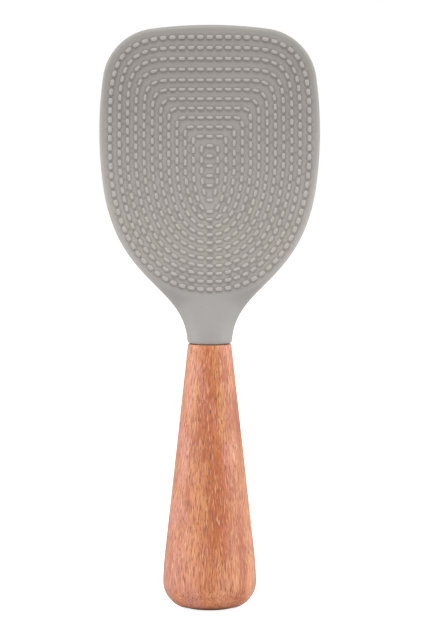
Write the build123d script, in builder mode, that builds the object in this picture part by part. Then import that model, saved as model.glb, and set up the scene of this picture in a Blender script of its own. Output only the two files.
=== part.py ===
from build123d import *
import math
import os

# Rice paddle that stands on its butt: +Z runs up the handle's axis, the front of the blade
# looks towards -Y, and the origin is the middle of the flat that the handle stands on.
# Lengths are in millimetres and angles in degrees.

# Driving sizes
handle_length = 96.8
head_length = 115.7
blade_width = 80.0
neck_radius = 7.9
lip_radius = 8.1
butt_radius = 17.1
foot_radius = 7.9

# Handle
butt_widest_height = 10.0
butt_corner_radius = 9.8
butt_corner_turn = 64.0
barrel_radius = 16.35
barrel_height = 20.8
top_edge_chamfer = 0.35
bore_radius = 4.4
bore_depth = 48.0

# Outline of the blade, with heights measured up from the end of the handle
widest_height = 76.9
crown_radius = 158.0
corner_radius = 20.3
side_radius = 144.0
shoulder_angle = 8.2
waist_angle = 1.4
hip_pull_share = 0.63
waist_pull_share = 0.38

# Thickness of the blade, half of it at the neck and half at the crown, and its bevels
root_half_thickness = 3.6
crown_half_thickness = 1.6
rim_chamfer = 0.85
lip_gap = 0.25
lip_chamfer = 0.4

# Round neck that flattens into the blade: places along the blade's flank, counted up from
# the neck, then shares of the outline's width there and of the way to the blade's thickness
neck_flank_shares = (0.0, 0.06, 0.13, 0.21, 0.3, 0.4)
neck_width_shares = (1.0, 1.004, 0.95, 0.84, 0.7, 0.56)
neck_flatten_shares = (0.0, 0.13, 0.38, 0.64, 0.88, 1.08)

# Raised dashes
dash_length = 2.35
dash_width = 1.35
dash_height = 0.55
dash_ridge_length = 1.3
dash_root = 0.1
dash_pitch = 3.37
heart_dash_pitch = 3.85

# Rings of dashes, counted from the outermost one inwards
ring_count = 12
ring_side_margin = 3.9
outer_side_count = 1
outer_side_pitch = 3.37
inner_side_pitch = 2.98
ring_top_margin = 4.4
outer_row_count = 4
outer_row_pitch = 3.88
inner_row_pitch = 3.39
ring_root_height = 20.0
ring_root_pitch = 2.82
heart_root_pitch = 4.15
ring_widest_drop = 4.7
ring_widest_pitch = 0.64
ring_corner_power = 4.2
ring_corner_growth = 1.16
ring_root_power = 2.26
ring_path_steps = 240

# Column of dashes inside the innermost ring
column_count = 4
column_drop = 3.65
column_pitch = 3.6

# Stiff core inside the head, and its tang in the handle
core_half_thickness = 0.9
core_half_width_shares = (0.1, 0.1, 0.4, 0.76, 0.86, 0.6)
core_height_shares = (0.0, 0.08, 0.24, 0.5, 0.82, 0.95)
window_width = 13.0
window_height = 9.0
window_pitch = 20.0
window_row_height_shares = (0.46, 0.72)
window_row_counts = (2, 3)
gusset_reach = 5.0
gusset_height = 27.0
rib_thickness = 2.4
collar_radius = 5.8
collar_height = 1.8
tang_length = 46.0
tang_clearance = 0.5
notch_count = 4
notch_start = 8.0
notch_pitch = 9.0
notch_width = 2.0
notch_depth = 0.8
bond_recess = 0.5

os.makedirs("parts", exist_ok=True)

face_slope = (root_half_thickness - crown_half_thickness) / head_length
front_plane = Plane(origin=(0, 0, handle_length), x_dir=(1, 0, 0), z_dir=(0, -1, 0))


def head_plane(height):
    """Level plane at a height above the end of the handle."""
    return Plane.XY.offset(handle_length + height)


def arc_about(center, start, end):
    """Arc from start to end, the short way round center."""
    radius = (start - center).length
    middle = center + ((start + end) / 2 - center).normalized() * radius
    return ThreePointArc(start, middle, end)


def flank_points():
    """Four points of the S-curve from the side of the blade down to the neck."""
    slope = math.radians(shoulder_angle)
    lean = math.radians(waist_angle)
    side_center = Vector(blade_width / 2 - side_radius, widest_height)
    start = side_center + Vector(math.cos(slope), -math.sin(slope)) * side_radius
    end = Vector(lip_radius, 0)
    hip = start - Vector(math.sin(slope), math.cos(slope)) * start.Y * hip_pull_share
    waist = end + Vector(math.sin(lean), math.cos(lean)) * start.Y * waist_pull_share
    return start, hip, waist, end


def half_outline():
    """Right half of the blade's outline, closed on the axis."""
    crown_center = Vector(0, head_length - crown_radius)
    side_center = Vector(blade_width / 2 - side_radius, widest_height)

    # The corner's centre lies where circles about the other two centres cross
    crown_reach = crown_radius - corner_radius
    side_reach = side_radius - corner_radius
    between = crown_center - side_center
    along = (side_reach**2 - crown_reach**2 + between.length**2) / (2 * between.length)
    across = math.sqrt(side_reach**2 - along**2)
    forward = between.normalized()
    outward = Vector(-forward.Y, forward.X)
    if outward.X < 0:
        outward = -outward
    corner_center = side_center + forward * along + outward * across

    top = Vector(0, head_length)
    crown_end = crown_center + (corner_center - crown_center).normalized() * crown_radius
    corner_end = side_center + (corner_center - side_center).normalized() * side_radius
    flank = flank_points()
    arc_about(crown_center, top, crown_end)
    arc_about(corner_center, crown_end, corner_end)
    arc_about(side_center, corner_end, flank[0])
    Bezier(*flank)
    Polyline(flank[3], (0, 0), top)


def half_thickness(height):
    """Blade's middle plane to its face, at a height above the end of the handle."""
    return root_half_thickness - height * face_slope


# Handle: one turned profile, a straight cone into a barrel and a rounded butt, with a flat
# to stand on and a flat-bottomed bore for the tang
with BuildPart() as handle:
    with BuildSketch(Plane.XZ):
        with BuildLine():
            cone = Line((neck_radius, handle_length), (barrel_radius, barrel_height))
            barrel = TangentArc(cone @ 1, (butt_radius, butt_widest_height), tangent=cone % 1)
            butt = JernArc(barrel @ 1, barrel % 1, butt_corner_radius, -butt_corner_turn)
            Polyline(butt @ 1, (foot_radius, 0), (0, 0), (0, handle_length), cone @ 0)
        make_face()
    revolve(axis=Axis.Z)
    chamfer(handle.faces().sort_by(Axis.Z)[-1].edges(), top_edge_chamfer)
    with BuildSketch(head_plane(0)):
        Circle(bore_radius)
    extrude(amount=-bore_depth, mode=Mode.SUBTRACT)
handle.part.label = "handle"
export_step(handle.part, "parts/handle.step")

# Core: a flat plate with windows that the silicone locks through, stiffened by a tapering rib
# on each side of the neck, a collar that seats on the end of the handle, and a cross-ribbed
# tang with notches for glue
with BuildPart() as blade_core:
    with BuildSketch(front_plane):
        with BuildLine():
            right_side = []
            for width_share, height_share in zip(core_half_width_shares, core_height_shares):
                right_side.append((blade_width / 2 * width_share, head_length * height_share))
            left_side = [(-across, height) for across, height in reversed(right_side)]
            Polyline(*right_side, *left_side, close=True)
        make_face()
        for height_share, count in zip(window_row_height_shares, window_row_counts):
            with Locations((0, head_length * height_share)):
                with GridLocations(window_pitch, 0, count, 1):
                    Rectangle(window_width, window_height, mode=Mode.SUBTRACT)
    extrude(amount=core_half_thickness, both=True)
    with BuildSketch(Plane.YZ.offset(-rib_thickness / 2)):
        with BuildLine():
            Polyline(
                (-gusset_reach, handle_length),
                (gusset_reach, handle_length),
                (core_half_thickness, handle_length + gusset_height),
                (-core_half_thickness, handle_length + gusset_height),
                close=True,
            )
        make_face()
    extrude(amount=rib_thickness)
    with BuildSketch(head_plane(0)):
        Circle(collar_radius)
    extrude(amount=collar_height)
    tang_reach = bore_radius - tang_clearance
    with BuildSketch(head_plane(0)):
        Rectangle(2 * tang_reach, rib_thickness)
        Rectangle(rib_thickness, 2 * tang_reach)
    extrude(amount=-tang_length)
    for notch in range(notch_count):
        with BuildSketch(head_plane(-notch_start - notch * notch_pitch)):
            with PolarLocations(tang_reach, 4):
                Rectangle(2 * notch_depth, 2 * rib_thickness)
        extrude(amount=-notch_width, mode=Mode.SUBTRACT)
blade_core.part.label = "blade_core"
export_step(blade_core.part, "parts/blade_core.step")

# Cured glue: fills the bore round the tang, and stops short of the handle's end
with BuildPart() as bond_sleeve:
    with BuildSketch(head_plane(-bore_depth)):
        Circle(bore_radius)
    extrude(amount=bore_depth - bond_recess)
    add(blade_core.part, mode=Mode.SUBTRACT)
bond_sleeve.part.label = "bond_sleeve"
export_step(bond_sleeve.part, "parts/bond_sleeve.step")


def stepped(index, first_pitch, first_count, next_pitch):
    """Distance after a number of steps, the first few of one pitch and the rest of another."""
    return min(index, first_count) * first_pitch + max(index - first_count, 0) * next_pitch


def ring_path(ring):
    """Right half of a ring as points from its top to its root, on a curve of unequal powers."""
    half_width = blade_width / 2 - ring_side_margin
    half_width -= stepped(ring, outer_side_pitch, outer_side_count, inner_side_pitch)
    top = head_length - ring_top_margin
    top -= stepped(ring, outer_row_pitch, outer_row_count, inner_row_pitch)
    root = ring_root_height + stepped(ring, ring_root_pitch, ring_count - 2, heart_root_pitch)
    widest = widest_height - ring_widest_drop - ring * ring_widest_pitch
    power = ring_corner_power * ring_corner_growth**ring
    points = []
    for step in range(ring_path_steps + 1):
        turn = math.pi * step / ring_path_steps
        sine = max(math.sin(turn), 0)
        cosine = math.cos(turn)
        if cosine > 0:
            reach = (top - widest) * cosine ** (2 / power)
            points.append(Vector(half_width * sine ** (2 / power), widest + reach))
        else:
            reach = (widest - root) * (-cosine) ** (2 / ring_root_power)
            points.append(Vector(half_width * sine ** (2 / ring_root_power), widest - reach))
    return points


def spaced_along(points, pitch):
    """Evenly spaced places on a path, both ends among them, each with its direction."""
    lengths = [0]
    for first, second in zip(points, points[1:]):
        lengths.append(lengths[-1] + (second - first).length)

    def place(distance):
        index = 1
        while index < len(points) - 1 and lengths[index] < distance:
            index += 1
        gap = lengths[index] - lengths[index - 1]
        share = (distance - lengths[index - 1]) / gap
        return points[index - 1] + (points[index] - points[index - 1]) * share

    count = max(round(lengths[-1] / pitch), 1)
    for step in range(count + 1):
        distance = lengths[-1] * step / count
        before = max(distance - dash_length / 2, 0)
        after = min(distance + dash_length / 2, lengths[-1])
        yield place(distance), (place(after) - place(before)).normalized()


def dash_plane(place, direction):
    """Plane on the blade's front face with its x axis along the dash."""
    outward = Vector(0, -1, face_slope).normalized()
    along = Vector(direction.X, 0, direction.Y)
    along -= outward * along.dot(outward)
    origin = Vector(place.X, -half_thickness(place.Y), handle_length + place.Y)
    return Plane(origin=origin, x_dir=along, z_dir=outward)


dash_planes = []
for ring in range(ring_count):
    pitch = heart_dash_pitch if ring == ring_count - 1 else dash_pitch
    places = list(spaced_along(ring_path(ring), pitch))
    for index, (place, direction) in enumerate(places):
        if index in (0, len(places) - 1):
            dash_planes.append(dash_plane(place, Vector(1, 0)))
        else:
            dash_planes.append(dash_plane(place, direction))
            mirrored = Vector(-place.X, place.Y)
            dash_planes.append(dash_plane(mirrored, Vector(direction.X, -direction.Y)))
heart_top = ring_path(ring_count - 1)[0].Y
for index in range(column_count):
    height = heart_top - column_drop - index * column_pitch
    dash_planes.append(dash_plane(Vector(0, height), Vector(1, 0)))

# One dash: a low hip-roofed ridge, rooted in the face of the blade
with BuildPart() as dash:
    root_spread = (dash_height + dash_root) / dash_height
    end_run = (dash_length - dash_ridge_length) / 2
    foot_half_length = dash_ridge_length / 2 + end_run * root_spread
    foot_half_width = dash_width / 2 * root_spread
    with BuildSketch(Plane.XZ):
        with BuildLine():
            Polyline(
                (-foot_half_length, -dash_root),
                (foot_half_length, -dash_root),
                (dash_ridge_length / 2, dash_height),
                (-dash_ridge_length / 2, dash_height),
                close=True,
            )
        make_face()
    extrude(amount=dash_width, both=True)
    with BuildSketch(Plane.YZ):
        with BuildLine():
            Polyline(
                (-foot_half_width, -dash_root),
                (foot_half_width, -dash_root),
                (0, dash_height),
                close=True,
            )
        make_face()
    extrude(amount=dash_length, both=True, mode=Mode.INTERSECT)

# Sections of the neck, from round at the handle to flat inside the blade
flank = Bezier(*flank_points())
neck_sections = []
for flank_share, width_share, flatten_share in zip(
    neck_flank_shares, neck_width_shares, neck_flatten_shares
):
    edge_point = flank @ (1 - flank_share)
    thinning = (lip_radius - half_thickness(edge_point.Y)) * flatten_share
    with BuildSketch(head_plane(edge_point.Y)) as neck_section:
        if flatten_share == 0:
            Circle(lip_radius)
        else:
            Ellipse(edge_point.X * width_share, lip_radius - thinning)
    neck_sections.append(neck_section.sketch)
neck_start = (flank @ (1 - neck_flank_shares[1])).Y

# Silicone head: a blade between two faces that lean together towards the crown, cut to its
# outline with a bevelled rim, the neck, a bevelled lip just clear of the handle, the room that
# the core fills, and the dashes
with BuildPart() as silicone_head:
    with BuildSketch(front_plane):
        with BuildLine():
            half_outline()
        make_face()
        mirror(about=Plane.YZ)
    extrude(amount=butt_radius, both=True)
    with BuildSketch(Plane.YZ):
        with BuildLine():
            Polyline(
                (-root_half_thickness, handle_length),
                (root_half_thickness, handle_length),
                (crown_half_thickness, handle_length + head_length),
                (-crown_half_thickness, handle_length + head_length),
                close=True,
            )
        make_face()
    extrude(amount=blade_width, both=True, mode=Mode.INTERSECT)
    with BuildSketch(head_plane(0)):
        Rectangle(blade_width, butt_radius)
    extrude(amount=neck_start, mode=Mode.SUBTRACT)
    faces_by_depth = silicone_head.faces().sort_by(Axis.Y)
    rim = faces_by_depth[0].edges() + faces_by_depth[-1].edges()
    chamfer(rim.sort_by(Axis.Z)[2:], rim_chamfer)
    loft(sections=neck_sections)
    with BuildSketch(head_plane(0)):
        Rectangle(blade_width, butt_radius)
    extrude(amount=lip_gap, mode=Mode.SUBTRACT)
    chamfer(silicone_head.faces().sort_by(Axis.Z)[0].edges(), lip_chamfer)
    add(blade_core.part, mode=Mode.SUBTRACT)
    with Locations(*dash_planes):
        add(dash.part, clean=False)
silicone_head.part.label = "silicone_head"
export_step(silicone_head.part, "parts/silicone_head.step")
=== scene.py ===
import math

import bmesh
import bpy
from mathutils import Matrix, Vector
from mathutils.geometry import delaunay_2d_cdt


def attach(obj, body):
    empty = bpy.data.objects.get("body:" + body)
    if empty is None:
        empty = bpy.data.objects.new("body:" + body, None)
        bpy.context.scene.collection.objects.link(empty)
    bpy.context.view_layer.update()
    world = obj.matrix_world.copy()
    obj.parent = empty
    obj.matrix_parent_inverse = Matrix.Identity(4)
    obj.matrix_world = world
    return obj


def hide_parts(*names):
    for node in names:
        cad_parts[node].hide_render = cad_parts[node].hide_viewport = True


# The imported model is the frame, in metres: +Z runs up the handle, the front of the blade looks
# towards -Y, and the middle of the flat that the handle stands on is the origin.
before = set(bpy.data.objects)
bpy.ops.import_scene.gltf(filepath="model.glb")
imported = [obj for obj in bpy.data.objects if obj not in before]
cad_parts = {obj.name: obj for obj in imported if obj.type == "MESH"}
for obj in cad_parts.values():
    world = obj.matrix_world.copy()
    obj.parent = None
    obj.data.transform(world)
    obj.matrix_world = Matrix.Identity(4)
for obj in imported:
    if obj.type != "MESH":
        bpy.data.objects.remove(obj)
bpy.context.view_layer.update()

# Handle
# A beech handle turned on a lathe from one billet, sanded and thinly oiled. It tapers straight
# up to the silicone, stands on a flat in its rounded butt, and has a bore down its middle for
# the tang.
MM = 0.001
HANDLE_LENGTH = 96.8
NECK_RADIUS = 7.88
TOP_EDGE_RADIUS = 0.35
BORE_RADIUS = 4.4
BORE_DEPTH = 48.0
FOOT_RADIUS = 7.2
FOOT_CURVE = [(7.6, 0.01), (8.0, 0.05), (8.4, 0.12)]
BUTT_CORNER_START = (11.6, 0.93)
BUTT_CORNER_CENTER = (7.304, 9.716)
BUTT_CORNER_RADIUS = 9.78
BARREL_CENTER = (-113.65, 6.35)
BARREL_RADIUS = 130.77
POINTS_AROUND = 192


def arc_points(center, radius, start, end, steps):
    """Points in the profile's plane on an arc, its angles in degrees."""
    points = []
    for step in range(steps + 1):
        turn = math.radians(start + (end - start) * step / steps)
        points.append((center[0] + radius * math.cos(turn), center[1] + radius * math.sin(turn)))
    return points


def line_points(start, end, steps):
    """Evenly spaced points from start to end, without the first."""
    points = []
    for step in range(1, steps + 1):
        share = step / steps
        points.append((start[0] + (end[0] - start[0]) * share, start[1] + (end[1] - start[1]) * share))
    return points


def mesh_piece(name, vertices, faces, node, weld=1e-7, relief=()):
    """A smooth mesh, its faces wound outwards, that rides on the root for one CAD node."""
    mesh = bpy.data.meshes.new(name)
    mesh.from_pydata(vertices, [], faces)
    if relief:
        mesh.attributes.new("relief", "FLOAT", "POINT").data.foreach_set("value", relief)
    piece = bpy.data.objects.new(name, mesh)
    bpy.context.scene.collection.objects.link(piece)
    bm = bmesh.new()
    bm.from_mesh(mesh)
    bmesh.ops.remove_doubles(bm, verts=bm.verts, dist=weld)
    bmesh.ops.dissolve_degenerate(bm, edges=bm.edges, dist=weld)
    for face in bm.faces:
        face.smooth = True
    bm.to_mesh(mesh)
    bm.free()
    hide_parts(node)
    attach(piece, "root")
    return piece


def srgb(red, green, blue):
    """A colour given as it looks on screen, 0 to 255, in linear light."""
    linear = []
    for value in (red, green, blue):
        value /= 255
        linear.append(value / 12.92 if value <= 0.04045 else ((value + 0.055) / 1.055) ** 2.4)
    return (*linear, 1.0)


class Shading:
    """A material's node tree, with short calls for the nodes that it is made of."""

    def __init__(self, name):
        self.material = bpy.data.materials.new(name)
        self.material.use_nodes = True
        self.tree = self.material.node_tree
        self.tree.nodes.clear()
        self.surface = self.tree.nodes.new("ShaderNodeBsdfPrincipled")
        output = self.tree.nodes.new("ShaderNodeOutputMaterial")
        self.tree.links.new(self.surface.outputs["BSDF"], output.inputs["Surface"])
        self.place = self.tree.nodes.new("ShaderNodeTexCoord").outputs["Object"]

    def put(self, value, socket):
        if isinstance(value, bpy.types.NodeSocket):
            self.tree.links.new(value, socket)
        else:
            socket.default_value = value

    def stretched(self, x, y, z, shift=(0.0, 0.0, 0.0)):
        """The place on the piece, with each axis multiplied so that a noise's cells stretch."""
        node = self.tree.nodes.new("ShaderNodeMapping")
        self.tree.links.new(self.place, node.inputs["Vector"])
        node.inputs["Scale"].default_value = (x, y, z)
        node.inputs["Location"].default_value = shift
        return node.outputs["Vector"]

    def noise(self, vector, scale, detail=3.0, roughness=0.5, distortion=0.0):
        node = self.tree.nodes.new("ShaderNodeTexNoise")
        self.tree.links.new(vector, node.inputs["Vector"])
        node.inputs["Scale"].default_value = scale
        node.inputs["Detail"].default_value = detail
        node.inputs["Roughness"].default_value = roughness
        node.inputs["Distortion"].default_value = distortion
        return node.outputs["Fac"]

    def ramp(self, value, low, high, out_low=0.0, out_high=1.0):
        """Maps low to high of a value smoothly onto another range, and holds it outside."""
        node = self.tree.nodes.new("ShaderNodeMapRange")
        node.interpolation_type = "SMOOTHSTEP"
        self.put(value, node.inputs["Value"])
        for name, number in (
            ("From Min", low),
            ("From Max", high),
            ("To Min", out_low),
            ("To Max", out_high),
        ):
            node.inputs[name].default_value = number
        return node.outputs["Result"]

    def mix(self, share, first, second, blend="MIX"):
        node = self.tree.nodes.new("ShaderNodeMix")
        node.data_type = "RGBA"
        node.blend_type = blend
        self.put(share, node.inputs["Factor"])
        self.put(first, [s for s in node.inputs if s.name == "A" and s.type == "RGBA"][0])
        self.put(second, [s for s in node.inputs if s.name == "B" and s.type == "RGBA"][0])
        return [s for s in node.outputs if s.type == "RGBA"][0]

    def sum(self, first, second, how="ADD"):
        node = self.tree.nodes.new("ShaderNodeMath")
        node.operation = how
        self.put(first, node.inputs[0])
        self.put(second, node.inputs[1])
        return node.outputs["Value"]

    def along(self, axis):
        """How far along an axis of the object a place is, in metres."""
        node = self.tree.nodes.new("ShaderNodeSeparateXYZ")
        self.tree.links.new(self.place, node.inputs["Vector"])
        return node.outputs[axis]

    def bump(self, value, distance, strength=1.0, normal=None):
        node = self.tree.nodes.new("ShaderNodeBump")
        node.inputs["Strength"].default_value = strength
        node.inputs["Distance"].default_value = distance
        self.tree.links.new(value, node.inputs["Height"])
        if normal is not None:
            self.tree.links.new(normal, node.inputs["Normal"])
        return node.outputs["Normal"]


# Half of the turned profile: across the foot, round the butt, up the barrel and the cone, over
# the top edge and down into the bore
edge_radius = NECK_RADIUS - TOP_EDGE_RADIUS
edge_height = HANDLE_LENGTH - TOP_EDGE_RADIUS
bore_height = HANDLE_LENGTH - BORE_DEPTH
profile = [(0.0, 0.0)]
profile += line_points((0.0, 0.0), (FOOT_RADIUS, 0.0), 6)
profile += FOOT_CURVE
profile += line_points(profile[-1], BUTT_CORNER_START, 8)
profile += arc_points(BUTT_CORNER_CENTER, BUTT_CORNER_RADIUS, -62.4, 1.6, 40)
profile += arc_points(BARREL_CENTER, BARREL_RADIUS, 1.8, 6.3, 12)
profile += line_points(profile[-1], (NECK_RADIUS + 0.04, HANDLE_LENGTH - 0.4), 70)
profile += arc_points((edge_radius, edge_height), TOP_EDGE_RADIUS, 6.0, 90.0, 6)
profile += line_points((edge_radius, HANDLE_LENGTH), (BORE_RADIUS, HANDLE_LENGTH), 4)
profile += line_points((BORE_RADIUS, HANDLE_LENGTH), (BORE_RADIUS, bore_height), 12)
profile += line_points(profile[-1], (0.0, bore_height), 3)

turned_vertices = []
turned_faces = []
for radius, height in profile:
    for step in range(POINTS_AROUND):
        turn = 2 * math.pi * step / POINTS_AROUND
        x = radius * math.cos(turn)
        y = radius * math.sin(turn)
        turned_vertices.append((x * MM, y * MM, height * MM))
for row in range(len(profile) - 1):
    lower = row * POINTS_AROUND
    upper = lower + POINTS_AROUND
    for step in range(POINTS_AROUND):
        after = (step + 1) % POINTS_AROUND
        turned_faces.append((lower + step, lower + after, upper + after, upper + step))
handle = mesh_piece("turned_handle", turned_vertices, turned_faces, "handle")

# Steamed beech under a thin oil: patches of pink, orange and tan drawn out along the grain, dense fine
# streaks and short dark rays, with light and shade painted in: a painted reflection that makes the left
# side pinker, a band of painted shade in darker orange up the middle, and painted shade at the foot
wood = Shading("oiled_beech")
broad = wood.noise(wood.stretched(1, 1, 0.28, (0.02, 0.05, 0.1)), 95.0, 3.0, 0.55, 0.4)
pink = wood.noise(wood.stretched(1, 1, 0.4, (0.9, 0.4, 0.1)), 125.0, 2.0, 0.5, 0.5)
gold = wood.noise(wood.stretched(1, 1, 0.2, (0.07, 0.02, 0.4)), 210.0, 3.0, 0.6, 0.3)
streaks = wood.noise(wood.stretched(1, 1, 0.07, (0.3, 0.1, 0.2)), 2500.0, 3.0, 0.6)
pale_streaks = wood.noise(wood.stretched(1, 1, 0.045, (0.5, 0.3, 0.6)), 2100.0, 2.0, 0.6)
rays = wood.ramp(wood.noise(wood.stretched(1, 1, 0.1, (0.2, 0.8, 0.5)), 2400.0, 1.0, 0.4), 0.61, 0.68)
sideways = wood.along("X")
# Painted shade: a darker orange band down the middle of the handle as the camera sees it, wandering a
# little
wander = wood.sum(wood.sum(broad, -0.5), 0.02, "MULTIPLY")
middle_painted_shade = wood.sum(wood.sum(wood.sum(sideways, wander), -0.0012), 0.0, "ABSOLUTE")
colour = wood.mix(wood.ramp(broad, 0.38, 0.62), srgb(180, 100, 62), srgb(218, 146, 102))
# Pink patches of the wood, plus a painted reflection that makes the left side pinker and the right less
# pink
pink_and_painted_reflection = wood.sum(pink, wood.ramp(sideways, -0.006, 0.004, 0.06, -0.06))
colour = wood.mix(wood.ramp(pink_and_painted_reflection, 0.46, 0.64, 0.0, 0.75), colour, srgb(206, 134, 116))
colour = wood.mix(wood.ramp(middle_painted_shade, 0.0005, 0.005, 0.6, 0.0), colour, srgb(190, 104, 50))
colour = wood.mix(wood.ramp(gold, 0.5, 0.68, 0.0, 0.65), colour, srgb(218, 152, 94))
colour = wood.mix(wood.ramp(streaks, 0.48, 0.64, 0.0, 0.75), colour, srgb(162, 82, 54))
colour = wood.mix(wood.ramp(pale_streaks, 0.52, 0.7, 0.0, 0.5), colour, srgb(238, 190, 146))
ray_share = wood.sum(rays, 0.7, "MULTIPLY")
colour = wood.mix(ray_share, colour, srgb(122, 60, 44))
# Painted shade along the bottom edge of the butt, where it stands on the floor
butt_painted_shade = wood.ramp(wood.along("Z"), 0.0003, 0.0022, 0.85, 0.0)
colour = wood.mix(butt_painted_shade, colour, srgb(96, 52, 36))
wood.put(colour, wood.surface.inputs["Base Color"])
wood.put(wood.ramp(streaks, 0.3, 0.7, 0.46, 0.6), wood.surface.inputs["Roughness"])
wood.surface.inputs["IOR"].default_value = 1.5
wood.surface.inputs["Coat Weight"].default_value = 0.35
wood.surface.inputs["Coat Roughness"].default_value = 0.32
grain_relief = wood.sum(wood.sum(streaks, -0.5, "MULTIPLY"), wood.sum(rays, -0.5, "MULTIPLY"))
wood.put(wood.bump(grain_relief, 0.00006, 0.6), wood.surface.inputs["Normal"])
handle.data.materials.append(wood.material)

# Glue
# Amber two-part glue, poured into the bore and cured round the tang. It is sealed in: only the
# model of its solid shows what shape it took.
glue = Shading("cured_amber_glue")
glue_clouds = glue.noise(glue.stretched(1, 1, 1), 260.0, 4.0, 0.6)
glue_colour = glue.mix(glue.ramp(glue_clouds, 0.35, 0.7), srgb(196, 150, 84), srgb(226, 194, 132))
glue.put(glue_colour, glue.surface.inputs["Base Color"])
glue.put(glue.ramp(glue_clouds, 0.3, 0.7, 0.25, 0.42), glue.surface.inputs["Roughness"])
glue.put(glue.bump(glue_clouds, 0.00008, 0.4), glue.surface.inputs["Normal"])
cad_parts["bond_sleeve"].material_slots[0].material = glue.material

# Core
# Natural nylon, injection moulded: plate, rib, collar and tang in one shot. The silicone is
# moulded over the plate and the tang is glued into the handle, so it never shows.
nylon = Shading("natural_nylon")
nylon_flow = nylon.noise(nylon.stretched(1, 1, 0.4), 140.0, 4.0, 0.55)
nylon_skin = nylon.noise(nylon.stretched(1, 1, 1), 2600.0, 2.0, 0.5)
nylon_colour = nylon.mix(nylon.ramp(nylon_flow, 0.3, 0.7), srgb(226, 222, 210), srgb(238, 235, 226))
nylon.put(nylon_colour, nylon.surface.inputs["Base Color"])
nylon.put(nylon.ramp(nylon_skin, 0.3, 0.7, 0.42, 0.55), nylon.surface.inputs["Roughness"])
nylon.put(nylon.bump(nylon_skin, 0.00003, 0.5), nylon.surface.inputs["Normal"])
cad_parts["blade_core"].material_slots[0].material = nylon.material

# Silicone head
# Warm grey silicone, compression moulded over the core in one piece: a round neck that flattens
# into a thin blade with a rounded rim, and rings of raised dashes on the front that keep rice
# from sticking. Its lip ends just clear of the wood.
HEAD_LENGTH = 115.66
BLADE_WIDTH = 79.96
WIDEST_HEIGHT = 76.9
CROWN_RADIUS = 158.0
CORNER_RADIUS = 20.3
SIDE_RADIUS = 144.0
SHOULDER_ANGLE = 8.2
WAIST_ANGLE = 1.4
HIP_PULL = 0.63
WAIST_PULL = 0.38
LIP_END_RADIUS = 8.1
ROOT_HALF_THICKNESS = 3.55
CROWN_HALF_THICKNESS = 1.6
LIP_GAP = 0.25
LIP_RADIUS = 1.0
LIP_ANGLES = (75, 60, 45, 30, 15, 0)
RIM_REACH = 1.5
RIM_CROWN = 0.55
NECK_FADE = 24.0
NECK_SPREAD = 60.0
BLADE_SPREAD = 12.0
EDGE_SPACING = 0.9
EDGE_STEPS = 12
COLLAR_RADIUS = 5.8
COLLAR_HEIGHT = 1.8


def smooth(value):
    """0 to 1 with level ends."""
    value = min(max(value, 0.0), 1.0)
    return value * value * (3 - 2 * value)


def flat(x, y):
    return Vector((x, y))


def outline_right():
    """Dense points of the blade's right edge, from the middle of its crown down to the neck."""
    crown_center = flat(0, HEAD_LENGTH - CROWN_RADIUS)
    side_center = flat(BLADE_WIDTH / 2 - SIDE_RADIUS, WIDEST_HEIGHT)
    crown_reach = CROWN_RADIUS - CORNER_RADIUS
    side_reach = SIDE_RADIUS - CORNER_RADIUS
    between = crown_center - side_center
    along = (side_reach**2 - crown_reach**2 + between.length**2) / (2 * between.length)
    across = math.sqrt(side_reach**2 - along**2)
    forward = between.normalized()
    outward = flat(-forward.y, forward.x)
    if outward.x < 0:
        outward = -outward
    corner_center = side_center + forward * along + outward * across

    def swing(center, radius, start, end):
        first = math.atan2(start.y, start.x)
        last = math.atan2(end.y, end.x)
        return [
            center + flat(math.cos(turn), math.sin(turn)) * radius
            for turn in (first + (last - first) * step / 400 for step in range(401))
        ]

    to_corner = corner_center - crown_center
    from_side = corner_center - side_center
    slope = math.radians(SHOULDER_ANGLE)
    points = swing(crown_center, CROWN_RADIUS, flat(0, 1), to_corner)
    points += swing(corner_center, CORNER_RADIUS, to_corner, from_side)[1:]
    points += swing(side_center, SIDE_RADIUS, from_side, flat(math.cos(slope), -math.sin(slope)))[1:]
    start = points[-1]
    end = flat(LIP_END_RADIUS, 0)
    lean = math.radians(WAIST_ANGLE)
    hip = start - flat(math.sin(slope), math.cos(slope)) * start.y * HIP_PULL
    waist = end + flat(math.sin(lean), math.cos(lean)) * start.y * WAIST_PULL
    for step in range(1, 801):
        share = step / 800
        rest = 1 - share
        points.append(
            start * rest**3
            + hip * 3 * share * rest**2
            + waist * 3 * share**2 * rest
            + end * share**3
        )
    return points


def resampled(points, spacing):
    """Evenly spaced points on a path, both ends kept."""
    lengths = [0.0]
    for first, second in zip(points, points[1:]):
        lengths.append(lengths[-1] + (second - first).length)
    count = max(round(lengths[-1] / spacing), 1)
    result = []
    index = 1
    for step in range(count + 1):
        distance = lengths[-1] * step / count
        while index < len(points) - 1 and lengths[index] < distance:
            index += 1
        share = (distance - lengths[index - 1]) / (lengths[index] - lengths[index - 1])
        result.append(points[index - 1].lerp(points[index], share))
    return result


def face_depth(x, z):
    """Half the thickness at a place on the head, before its edge is rounded."""
    blade = ROOT_HALF_THICKNESS + (CROWN_HALF_THICKNESS - ROOT_HALF_THICKNESS) * z / HEAD_LENGTH
    blade -= RIM_CROWN * (x / (BLADE_WIDTH / 2)) ** 2
    neck = (LIP_END_RADIUS - ROOT_HALF_THICKNESS) * (1 - smooth(z / NECK_FADE))
    spread = NECK_SPREAD + (BLADE_SPREAD - NECK_SPREAD) * smooth((z - 2.0) / 14.0)
    share = min(abs(x) / spread, 1.0)
    return blade + neck * (1 - share * share) ** 2


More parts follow.
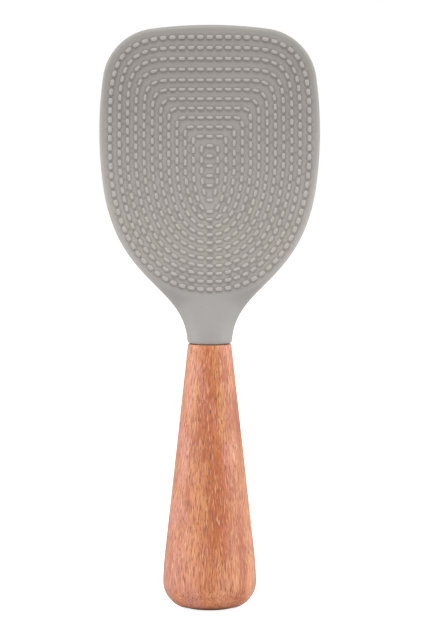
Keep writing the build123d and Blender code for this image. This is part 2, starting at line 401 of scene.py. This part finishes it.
edge = outline_right()
neck_top = next(i for i, p in enumerate(edge) if p.y < LIP_GAP + LIP_RADIUS)
edge = resampled(edge[:neck_top], EDGE_SPACING)
lean = math.tan(math.radians(WAIST_ANGLE))
rows = [(p, 1.0) for p in edge]
for angle in LIP_ANGLES:
    height = LIP_GAP + LIP_RADIUS * (1 - math.cos(math.radians(angle)))
    scale = 1 - (LIP_RADIUS / LIP_END_RADIUS) * (1 - math.sin(math.radians(angle)))
    rows.append((flat((LIP_END_RADIUS + height * lean) * scale, height), scale))

# Each row runs from the edge over the front, or the back, to where the flat of the blade
# begins. In the neck it runs as far as the axis, so that the neck comes out round.
rounded = []
for index, (point, scale) in enumerate(rows):
    before = rows[max(index - 1, 0)][0]
    after = rows[min(index + 1, len(rows) - 1)][0]
    run = (after - before).normalized()
    inward = flat(run.y, -run.x) if index else flat(0, -1)
    blade_share = smooth((point.y - 8.5) / 12.5)
    inward = (flat(-1, 0) * (1 - blade_share) + inward * blade_share).normalized()
    reach = point.x + (RIM_REACH - point.x) * blade_share
    row = []
    for step in range(EDGE_STEPS + 1):
        turn = math.pi / 2 * step / EDGE_STEPS
        place = point + inward * reach * (1 - math.cos(turn))
        depth = face_depth(place.x, place.y) * scale * math.sin(turn)
        row.append((max(place.x, 0.0), depth, place.y))
    rounded.append(row)

head_vertices = []
head_relief = []
head_faces = []


def add_vertex(x, y, z, relief=0.0):
    """Relief is 1 on top of a dash, -1 in the corner round its foot and 0 elsewhere; the silicone
    paints highlights and shade from it.
    """
    head_vertices.append((x * MM, y * MM, (HANDLE_LENGTH + z) * MM))
    head_relief.append(relief)
    return len(head_vertices) - 1


for side in (1, -1):
    for front in (-1, 1):
        grid = [[add_vertex(side * x, front * y, z) for x, y, z in row] for row in rounded]
        for first, second in zip(grid, grid[1:]):
            for step in range(EDGE_STEPS):
                face = (first[step], second[step], second[step + 1], first[step + 1])
                head_faces.append(face if side * front > 0 else face[::-1])

# Flat of the blade, inside the rounded rows
inner = [(row[-1][0], row[-1][2]) for row in rounded]
pinch = next(i for i, (x, z) in enumerate(inner) if x < 1e-4 and i > 5)
flat_edge = inner[: pinch + 1] + [(-x, z) for x, z in reversed(inner[1:pinch])]

# Rings of dashes, as the mould cuts them, counted from the outermost one inwards, and the short
# column inside them
DASH_LENGTH = 2.35
DASH_WIDTHS = (1.45, 1.25, 1.2, 1.15, 1.1)
DASH_PITCH = 3.37
HEART_DASH_PITCH = 3.85
RING_COUNT = 12
RING_SIDE_MARGIN = 3.9
OUTER_SIDE_COUNT = 1
OUTER_SIDE_PITCH = 3.37
INNER_SIDE_PITCH = 2.98
RING_TOP_MARGIN = 4.4
OUTER_ROW_COUNT = 4
OUTER_ROW_PITCH = 3.88
INNER_ROW_PITCH = 3.39
RING_ROOT_HEIGHT = 20.0
RING_ROOT_PITCH = 2.82
HEART_ROOT_PITCH = 4.15
RING_WIDEST_DROP = 4.7
RING_WIDEST_PITCH = 0.64
RING_CORNER_POWER = 4.2
RING_CORNER_GROWTH = 1.16
RING_ROOT_POWER = 2.26
COLUMN_COUNT = 4
COLUMN_DROP = 3.65
COLUMN_PITCH = 3.6


def stepped(index, first_pitch, first_count, next_pitch):
    return min(index, first_count) * first_pitch + max(index - first_count, 0) * next_pitch


def ring_path(ring):
    """Right half of a ring, from its top to its root."""
    half_width = BLADE_WIDTH / 2 - RING_SIDE_MARGIN
    half_width -= stepped(ring, OUTER_SIDE_PITCH, OUTER_SIDE_COUNT, INNER_SIDE_PITCH)
    top = HEAD_LENGTH - RING_TOP_MARGIN
    top -= stepped(ring, OUTER_ROW_PITCH, OUTER_ROW_COUNT, INNER_ROW_PITCH)
    root = RING_ROOT_HEIGHT + stepped(ring, RING_ROOT_PITCH, RING_COUNT - 2, HEART_ROOT_PITCH)
    widest = WIDEST_HEIGHT - RING_WIDEST_DROP - ring * RING_WIDEST_PITCH
    power = RING_CORNER_POWER * RING_CORNER_GROWTH**ring
    points = []
    for step in range(241):
        turn = math.pi * step / 240
        sine = max(math.sin(turn), 0)
        cosine = math.cos(turn)
        if cosine > 0:
            rise = (top - widest) * cosine ** (2 / power)
            points.append(flat(half_width * sine ** (2 / power), widest + rise))
        else:
            drop = (widest - root) * (-cosine) ** (2 / RING_ROOT_POWER)
            points.append(flat(half_width * sine ** (2 / RING_ROOT_POWER), widest - drop))
    return points


dashes = []
for ring in range(RING_COUNT):
    path = ring_path(ring)
    places = resampled(path, HEART_DASH_PITCH if ring == RING_COUNT - 1 else DASH_PITCH)
    ends = resampled(path, 0.1)
    width = DASH_WIDTHS[min(ring, len(DASH_WIDTHS) - 1)]
    for index, place in enumerate(places):
        if index in (0, len(places) - 1):
            dashes.append((place, flat(1, 0), width))
            continue
        near = min(range(len(ends)), key=lambda i: (ends[i] - place).length_squared)
        before, after = ends[max(near - 11, 0)], ends[min(near + 11, len(ends) - 1)]
        direction = (after - before).normalized()
        dashes.append((place, direction, width))
        dashes.append((flat(-place.x, place.y), flat(direction.x, -direction.y), width))
heart_top = ring_path(RING_COUNT - 1)[0].y
for index in range(COLUMN_COUNT):
    place = flat(0, heart_top - COLUMN_DROP - index * COLUMN_PITCH)
    dashes.append((place, flat(1, 0), DASH_WIDTHS[-1]))

LOOP_POINTS = 24
LOOP_BOXINESS = 0.62


def dash_loop(place, direction, width, offset):
    """Points round a dash, an offset out from its outline, on a curve between box and oval."""
    sideways = flat(-direction.y, direction.x)
    points = []
    for step in range(LOOP_POINTS):
        turn = 2 * math.pi * step / LOOP_POINTS
        cosine, sine = math.cos(turn), math.sin(turn)
        along = math.copysign(abs(cosine) ** LOOP_BOXINESS, cosine) * (DASH_LENGTH / 2 + offset)
        across = math.copysign(abs(sine) ** LOOP_BOXINESS, sine) * (width / 2 + offset)
        points.append(place + direction * along + sideways * across)
    return points


def filled(boundary, loops, spacing):
    """Triangles between a boundary and loops inside it, with evenly scattered inner points."""
    points = [flat(*p) for p in boundary]
    edges = [(i, (i + 1) % len(points)) for i in range(len(points))]
    owners = [-1] * len(points)
    for number, loop in enumerate(loops):
        base = len(points)
        points += loop
        owners += [number] * len(loop)
        edges += [(base + i, base + (i + 1) % len(loop)) for i in range(len(loop))]
    taken = {}
    for point in points:
        taken.setdefault((int(point.x // spacing), int(point.y // spacing)), []).append(point)
    inside_row = 0
    height = min(p.y for p in points) + spacing
    while height < max(p.y for p in points):
        crossings = []
        for first, second in zip(boundary, boundary[1:] + boundary[:1]):
            if (first[1] > height) != (second[1] > height):
                share = (height - first[1]) / (second[1] - first[1])
                crossings.append(first[0] + (second[0] - first[0]) * share)
        low, high = min(crossings), max(crossings)
        x = low + spacing * (0.6 if inside_row % 2 else 1.1)
        while x < high - spacing * 0.6:
            cell = (int(x // spacing), int(height // spacing))
            near = [
                q
                for i in (-1, 0, 1)
                for j in (-1, 0, 1)
                for q in taken.get((cell[0] + i, cell[1] + j), [])
            ]
            if all((q - flat(x, height)).length > spacing * 0.42 for q in near):
                points.append(flat(x, height))
                owners.append(-2)
            x += spacing
        height += spacing * 0.866
        inside_row += 1
    result = delaunay_2d_cdt(points, edges, [], 1, 1e-6)
    out_points, out_faces, origins = result[0], result[2], result[3]
    owner = [owners[origin[0]] if origin else -3 for origin in origins]
    kept = []
    for face in out_faces:
        kinds = {owner[v] for v in face}
        if len(kinds) == 1 and min(kinds) >= 0:
            continue
        kept.append(face)
    return out_points, kept, owner


FOOT_OFFSET = 0.08
DASH_TOP = 0.585
footprints = [dash_loop(*dash, FOOT_OFFSET) for dash in dashes]
for front, loops, spacing in ((-1, footprints, 1.1), (1, [], 3.0)):
    points, faces, owner = filled(flat_edge, loops, spacing)
    made = [
        add_vertex(p.x, front * face_depth(p.x, p.y), p.y, -1.0 if number >= 0 else 0.0)
        for p, number in zip(points, owner)
    ]
    for face in faces:
        face = [made[v] for v in face]
        head_faces.append(face if front < 0 else face[::-1])

# A dash's section: how far out from its outline each loop of it stands, how high, and its relief, which
# sets painted highlight and shade
dash_section = (
    (FOOT_OFFSET, 0.0, -1.0),
    (0.03, 0.02, -1.0),
    (0.0, 0.08, -0.8),
    (-0.02, 0.22, -0.2),
    (-0.05, 0.38, 0.4),
    (-0.1, 0.48, 1.0),
    (-0.2, 0.54, 1.0),
    (-0.34, 0.575, 1.0),
)
for place, direction, width in dashes:
    loops = []
    for offset, lift, relief in dash_section:
        loop = dash_loop(place, direction, width, offset)
        loops.append([add_vertex(p.x, -face_depth(p.x, p.y) - lift, p.y, relief) for p in loop])
    for lower, upper in zip(loops, loops[1:]):
        for step in range(LOOP_POINTS):
            after = (step + 1) % LOOP_POINTS
            head_faces.append((lower[step], lower[after], upper[after], upper[step]))
    top = add_vertex(place.x, -face_depth(place.x, place.y) - DASH_TOP, place.y, 1.0)
    for step in range(LOOP_POINTS):
        head_faces.append((loops[-1][step], loops[-1][(step + 1) % LOOP_POINTS], top))

# Underside: a ring round the collar's recess, closed above it
lowest = rounded[-1]
quarter = [(x, y) for x, y, z in lowest]
foot = [(x, -y) for x, y in quarter]
foot += [(-x, -y) for x, y in reversed(quarter[:-1])]
foot += [(-x, y) for x, y in quarter[1:]]
foot += [(x, y) for x, y in reversed(quarter[1:-1])]
foot_height = lowest[0][2]
foot_radius = math.hypot(*foot[0])
under_rows = (
    (foot_radius, foot_height),
    (foot_radius - 0.25, LIP_GAP),
    (COLLAR_RADIUS, LIP_GAP),
    (COLLAR_RADIUS, COLLAR_HEIGHT),
    (0.0, COLLAR_HEIGHT),
)
under_loops = []
for radius, height in under_rows:
    scale = radius / foot_radius
    under_loops.append([add_vertex(x * scale, y * scale, height) for x, y in foot])
for lower, upper in zip(under_loops, under_loops[1:]):
    for step in range(len(foot)):
        after = (step + 1) % len(foot)
        head_faces.append((lower[step], lower[after], upper[after], upper[step]))
head = mesh_piece(
    "silicone_paddle_head",
    head_vertices,
    head_faces,
    "silicone_head",
    2e-6,
    head_relief,
)

# Satin silicone: warm grey with light and shade painted in, paler below the rings, darker at the crown,
# painted highlights on the dash tops and painted shade in the corners round them; and a faint bloom of
# dust

silicone = Shading("warm_grey_silicone")
silicone_clouds = silicone.noise(silicone.stretched(1, 1, 1), 45.0, 4.0, 0.55)
silicone_skin = silicone.noise(silicone.stretched(1, 1, 1, (0.3, 0.2, 0.1)), 3800.0, 2.0, 0.55)
silicone_dust = silicone.noise(silicone.stretched(1, 1, 1, (0.6, 0.9, 0.4)), 900.0, 3.0, 0.6)
silicone_rise = silicone.along("Z")
# Painted light and shade by height: paler low on the blade and darker towards the crown. The foot of
# the neck is darker as well.
silicone_colour = silicone.mix(
    silicone.ramp(silicone_rise, 0.112, 0.128), srgb(159, 156, 153), srgb(176, 171, 166)
)
silicone_colour = silicone.mix(
    silicone.ramp(silicone_rise, 0.128, 0.202), silicone_colour, srgb(151, 147, 143)
)
silicone_colour = silicone.mix(
    silicone.ramp(silicone_clouds, 0.3, 0.7, 0.0, 0.12), silicone_colour, srgb(176, 170, 164)
)
relief_reader = silicone.tree.nodes.new("ShaderNodeAttribute")
relief_reader.attribute_name = "relief"
dash_light_and_shade = relief_reader.outputs["Fac"]
# Painted shade in the corners round the feet of the dashes
silicone_colour = silicone.mix(
    silicone.ramp(dash_light_and_shade, 0.0, -1.0, 0.0, 0.4), silicone_colour, srgb(122, 116, 110)
)
# Painted highlights on the tops of the dashes
silicone_colour = silicone.mix(
    silicone.ramp(dash_light_and_shade, 0.2, 1.0, 0.0, 0.54), silicone_colour, srgb(186, 180, 174)
)
silicone_colour = silicone.mix(
    silicone.ramp(silicone_dust, 0.62, 0.8, 0.0, 0.25), silicone_colour, srgb(188, 184, 180)
)
silicone.put(silicone_colour, silicone.surface.inputs["Base Color"])
silicone.put(silicone.ramp(silicone_clouds, 0.3, 0.7, 0.46, 0.56), silicone.surface.inputs["Roughness"])
silicone.surface.inputs["IOR"].default_value = 1.41
silicone.put(silicone.bump(silicone_skin, 0.00002, 0.5), silicone.surface.inputs["Normal"])
head.data.materials.append(silicone.material)

# Floor
# A matt white studio floor, which keeps a faint soft shadow under the butt. To the camera it
# glows a little, so that it reads as white as the background.
bpy.ops.mesh.primitive_grid_add(x_subdivisions=8, y_subdivisions=8, size=6.0, location=(0, 0, 0))
floor = bpy.context.object
floor.name = "studio_floor"
white_floor = Shading("matt_white_floor")
floor_tone = white_floor.noise(white_floor.stretched(1, 1, 1), 3.0, 2.0, 0.5)
floor_patches = white_floor.ramp(floor_tone, 0.3, 0.7)
floor_colour = white_floor.mix(floor_patches, (0.86, 0.86, 0.86, 1), (0.88, 0.88, 0.88, 1))
white_floor.put(floor_colour, white_floor.surface.inputs["Base Color"])
white_floor.surface.inputs["Roughness"].default_value = 0.9
white_floor.surface.inputs["Emission Color"].default_value = (1, 1, 1, 1)
floor_rays = white_floor.tree.nodes.new("ShaderNodeLightPath")
floor_glow = white_floor.sum(floor_rays.outputs["Is Camera Ray"], 0.84, "MULTIPLY")
white_floor.put(floor_glow, white_floor.surface.inputs["Emission Strength"])
white_floor.surface.inputs["Specular IOR Level"].default_value = 0.1
floor.data.materials.append(white_floor.material)

# Lights
# A white tent: a sky that the camera and the reflections see as white and the surfaces feel as
# a dim even light, two tall panels at the sides for the bright edges, and a soft key from
# above, a little to the front.
world = bpy.data.worlds.new("white_tent")
bpy.context.scene.world = world
world.use_nodes = True
sky = world.node_tree
sky.nodes.clear()
seen = sky.nodes.new("ShaderNodeBackground")
seen.inputs["Color"].default_value = (1, 1, 1, 1)
seen.inputs["Strength"].default_value = 1.0
felt = sky.nodes.new("ShaderNodeBackground")
felt.inputs["Color"].default_value = (1, 1, 1, 1)
felt.inputs["Strength"].default_value = 0.34
rays_seen = sky.nodes.new("ShaderNodeLightPath")
mirrored = sky.nodes.new("ShaderNodeMath")
mirrored.operation = "MAXIMUM"
sky.links.new(rays_seen.outputs["Is Glossy Ray"], mirrored.inputs[0])
sky.links.new(rays_seen.outputs["Is Transmission Ray"], mirrored.inputs[1])
shown = sky.nodes.new("ShaderNodeMath")
shown.operation = "MAXIMUM"
sky.links.new(rays_seen.outputs["Is Camera Ray"], shown.inputs[0])
sky.links.new(mirrored.outputs["Value"], shown.inputs[1])
choice = sky.nodes.new("ShaderNodeMixShader")
sky_output = sky.nodes.new("ShaderNodeOutputWorld")
sky.links.new(shown.outputs["Value"], choice.inputs["Fac"])
sky.links.new(felt.outputs["Background"], choice.inputs[1])
sky.links.new(seen.outputs["Background"], choice.inputs[2])
sky.links.new(choice.outputs["Shader"], sky_output.inputs["Surface"])


def panel(name, width, height, power, place, aim):
    """A soft rectangular lamp at a place, aimed at a point."""
    lamp = bpy.data.lights.new(name, "AREA")
    lamp.shape = "RECTANGLE"
    lamp.size = width
    lamp.size_y = height
    lamp.energy = power
    lamp.color = (1.0, 1.0, 1.0)
    holder = bpy.data.objects.new(name, lamp)
    holder.location = place
    holder.rotation_euler = (Vector(aim) - Vector(place)).to_track_quat("-Z", "Y").to_euler()
    bpy.context.scene.collection.objects.link(holder)
    return holder


MIDDLE = (0, 0, 0.12)
panel("left_panel", 0.9, 1.1, 6.0, (-0.8, -0.1, 0.35), MIDDLE)
panel("right_panel", 0.9, 1.1, 6.9, (0.8, -0.1, 0.35), MIDDLE)
panel("top_key", 0.45, 0.35, 6.9, (-0.1, -0.4, 1.2), MIDDLE)

# Camera
# A long lens, square on to the blade and a little above the middle of the paddle.
CAMERA_RISE = math.radians(4.5)
CAMERA_DISTANCE = 1.25
target = Vector((0.0003, 0.0, 0.10706))
camera_data = bpy.data.cameras.new("camera")
camera_data.lens = 196.0
camera_data.sensor_width = 36.0
camera_data.clip_start = 0.05
camera_data.clip_end = 20.0
camera = bpy.data.objects.new("camera", camera_data)
camera.location = target + Vector((0, -math.cos(CAMERA_RISE), math.sin(CAMERA_RISE))) * CAMERA_DISTANCE
camera.rotation_euler = (target - camera.location).to_track_quat("-Z", "Y").to_euler()
bpy.context.scene.collection.objects.link(camera)
bpy.context.scene.camera = camera
bpy.context.scene.view_settings.view_transform = "Standard"
